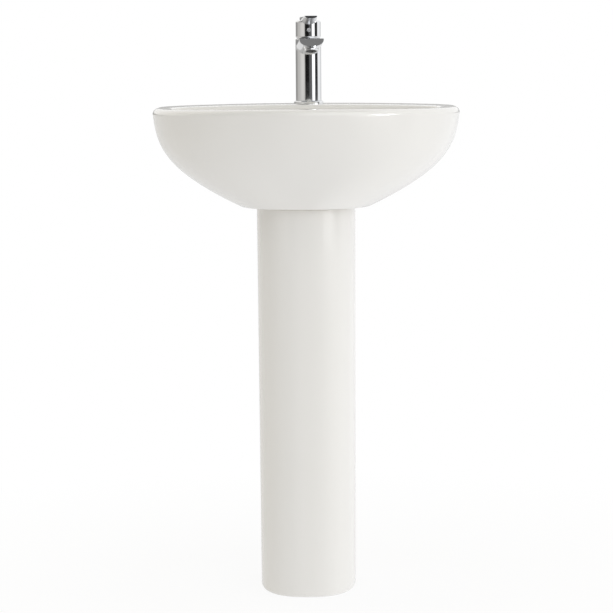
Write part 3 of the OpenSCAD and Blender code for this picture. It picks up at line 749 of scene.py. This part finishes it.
def make_floor():
    """A sheet that is mostly its own white glow, so only a faint shadow shows near the object.

    Reflections pass through it, so gloss and chrome mirror the studio's lower half."""
    floor = new_object("floor", [(FLOOR_R * cos(a), FLOOR_R * sin(a), 0) for a in turn(96)],
                       [tuple(range(96))])
    look = material("pale_floor", ((0.86, 0.86, 0.86), (0.89, 0.89, 0.89), 1.5),
                    (0.6, 0.7, 4.0), [(60.0, 0.05, 0.0005)])
    tree = look.node_tree
    shader = tree.nodes["Principled BSDF"]
    shader.inputs["Specular IOR Level"].default_value = 0.1
    far = node(tree, "ShaderNodeVectorMath", operation="LENGTH")
    tree.links.new(tree.nodes.new("ShaderNodeTexCoord").outputs["Object"], far.inputs[0])
    share = ranged(tree, far.outputs["Value"], GLOW_NEAR, GLOW_FAR, FADE_FROM, FADE_TO)
    glow = node(tree, "ShaderNodeEmission")
    glow.inputs["Color"].default_value = (1, 1, 1, 1)
    lit = blended_shaders(tree, share, shader.outputs[0], glow.outputs[0])
    is_gloss = node(tree, "ShaderNodeLightPath").outputs["Is Glossy Ray"]
    clear = node(tree, "ShaderNodeBsdfTransparent").outputs[0]
    surface = blended_shaders(tree, is_gloss, lit, clear)
    tree.links.new(surface, tree.nodes["Material Output"].inputs["Surface"])
    dress(floor, look)


# ---- camera: where the photograph was taken from, found by matching outlines --------------------
AZIMUTH = 0.0135
DISTANCE = 4.0985
EYE_Z = 0.9673
TILT = 0.1143
ROLL = 0.0073
SENSOR_MM = 36
LENS_MM = 137.01142
SHIFT_X = -0.00057096
FARTHEST = 60


def make_camera():
    data = bpy.data.cameras.new("camera")
    data.lens = LENS_MM
    data.sensor_width = SENSOR_MM
    data.shift_x = SHIFT_X
    data.clip_end = FARTHEST
    camera = linked("camera", data)
    camera.location = (DISTANCE * sin(AZIMUTH), -DISTANCE * cos(AZIMUTH), EYE_Z)
    sideways = Matrix.Rotation(AZIMUTH, 4, "Z")
    aim = sideways @ Matrix.Rotation(pi / 2 - TILT, 4, "X") @ Matrix.Rotation(-ROLL, 4, "Z")
    camera.rotation_euler = aim.to_euler()
    bpy.context.scene.camera = camera


# ---- studio ---------------------------------------------------------------------------------
# Greys by bearing: 0 is straight in front and + is to the right. SOFT lights the ceramic. The
# rest is what gloss and chrome mirror: from below the eye's level, at it, and above it. LAMP is
# one bright patch on the right.
SOFT = [(-180, 0.97), (-140, 1.11), (-120, 0.99), (-100, 0.73), (-80, 0.38), (-60, 0.11), (-40, 0.11),
        (-20, 0.22), (0, 0.95), (20, 2.02), (40, 2.22), (60, 1.62), (80, 0.98), (100, 0.72), (120, 0.68),
        (140, 0.77), (180, 0.97)]
BELOW = [(-180, 0.80), (-120, 0.62), (-60, 0.50), (-30, 0.22), (30, 0.22), (60, 0.50), (100, 0.90),
         (150, 1.0), (180, 0.80)]
EYE_LEVEL = [(-180, 0.26), (-125, 0.35), (-105, 0.55), (-85, 0.58), (-60, 0.75), (-40, 0.75), (-31, 0.45),
             (-27, 0.01), (4, 0.01), (12, 0.12), (32, 0.13), (38, 1.5), (60, 1.5), (65, 0.03), (91, 0.03),
             (97, 1.05), (125, 1.0), (150, 0.75), (180, 0.26)]
ABOVE = [(-180, 1.0), (-120, 1.0), (-90, 0.35), (-60, 0.15), (-10, 0.15), (5, 1.1), (55, 1.3), (76, 0.9),
         (110, 1.0), (180, 1.0)]
LAMP = [(-180, 0), (56, 0), (58, 14), (74, 14), (76, 0), (180, 0)]
# The light from the left is a little warmer, and that on the ceramic more so.
WARM_SIDE = (-170, -10)
WARM = (1.03, 1.0, 0.95)
WARM_SOFT = (1.08, 1.0, 0.78)
NEUTRAL = (1.0, 1.0, 1.0)
SOFT_OVERHEAD = (0.98, 0.97, 0.94)
SOFT_UNDERFOOT = (0.73, 0.73, 0.73)
CEILING = (0.35, 0.35, 0.35)
# Bands of height over which one light gives way to the next: 0 is level and 1 is straight up.
OVERHEAD_BAND = (0.35, 0.6)
UNDERFOOT_BAND = (-0.12, -0.02)
BELOW_BAND = (-0.035, -0.025)
ABOVE_BAND = (0.02, 0.06)
CEILING_BAND = (0.82, 0.9)
LAMP_FOOT_BAND = (0.08, 0.10)
LAMP_HEAD_BAND = (0.30, 0.32)


def rising(tree, height, band):
    """0 below a band of heights and 1 above it."""
    return ranged(tree, height, 0, 1, *band)


def falling(tree, height, band):
    """1 below a band of heights and 0 above it."""
    return ranged(tree, height, 1, 0, *band)


def by_bearing(tree, along, greys, warm=WARM):
    """A colour ramp over the bearing, warmer on the left of the object."""
    bands = node(tree, "ShaderNodeValToRGB")
    ramp = bands.color_ramp
    while len(ramp.elements) < len(greys):
        ramp.elements.new(0.5)
    for element, (degree, grey) in zip(ramp.elements, greys):
        tint = warm if WARM_SIDE[0] < degree < WARM_SIDE[1] else NEUTRAL
        element.position = (degree + 180) / 360
        element.color = (*(grey * part for part in tint), 1)
    tree.links.new(along, bands.inputs["Fac"])
    return bands.outputs["Color"]


def soft_light(tree, along, height):
    """What lights the ceramic, with a plain tone overhead and another underfoot."""
    light = by_bearing(tree, along, SOFT, WARM_SOFT)
    light = mixed(tree, rising(tree, height, OVERHEAD_BAND), light, SOFT_OVERHEAD)
    return mixed(tree, falling(tree, height, UNDERFOOT_BAND), light, SOFT_UNDERFOOT)


def mirrored_light(tree, along, height):
    """What gloss and chrome mirror: three rings of bands, a dark ceiling and one bright lamp."""
    light = mixed(tree, rising(tree, height, ABOVE_BAND), by_bearing(tree, along, EYE_LEVEL),
                  by_bearing(tree, along, ABOVE))
    light = mixed(tree, rising(tree, height, CEILING_BAND), light, CEILING)
    light = mixed(tree, falling(tree, height, BELOW_BAND), light, by_bearing(tree, along, BELOW))
    lamp = node(tree, "ShaderNodeMath", operation="MULTIPLY")
    tree.links.new(rising(tree, height, LAMP_FOOT_BAND), lamp.inputs[0])
    tree.links.new(falling(tree, height, LAMP_HEAD_BAND), lamp.inputs[1])
    glint = node(tree, "ShaderNodeMix", data_type="RGBA", blend_type="ADD")
    tree.links.new(lamp.outputs[0], glint.inputs["Factor"])
    tree.links.new(light, glint.inputs[MIX_A])
    tree.links.new(by_bearing(tree, along, LAMP), glint.inputs[MIX_B])
    return glint.outputs[MIX_OUT]


def make_studio():
    """One world that is white behind the object, soft on the ceramic and banded in reflections."""
    world = bpy.data.worlds.new("studio")
    bpy.context.scene.world = world
    world.use_nodes = True
    tree = world.node_tree
    tree.nodes.clear()
    split = node(tree, "ShaderNodeSeparateXYZ")
    tree.links.new(node(tree, "ShaderNodeTexCoord").outputs["Generated"], split.inputs[0])
    front = node(tree, "ShaderNodeMath", operation="MULTIPLY")
    tree.links.new(split.outputs["Y"], front.inputs[0])
    front.inputs[1].default_value = -1
    bearing = node(tree, "ShaderNodeMath", operation="ARCTAN2")
    tree.links.new(split.outputs["X"], bearing.inputs[0])
    tree.links.new(front.outputs[0], bearing.inputs[1])
    along = ranged(tree, bearing.outputs[0], 0, 1, -pi, pi)
    height = split.outputs["Z"]
    path = node(tree, "ShaderNodeLightPath")
    light = mixed(tree, path.outputs["Is Glossy Ray"], soft_light(tree, along, height),
                  mirrored_light(tree, along, height))
    light = mixed(tree, path.outputs["Is Camera Ray"], light, NEUTRAL)
    studio = node(tree, "ShaderNodeBackground")
    tree.links.new(light, studio.inputs["Color"])
    tree.links.new(studio.outputs[0], node(tree, "ShaderNodeOutputWorld").inputs["Surface"])


make_floor()
make_camera()
make_studio()
bpy.context.scene.view_settings.view_transform = "Standard"
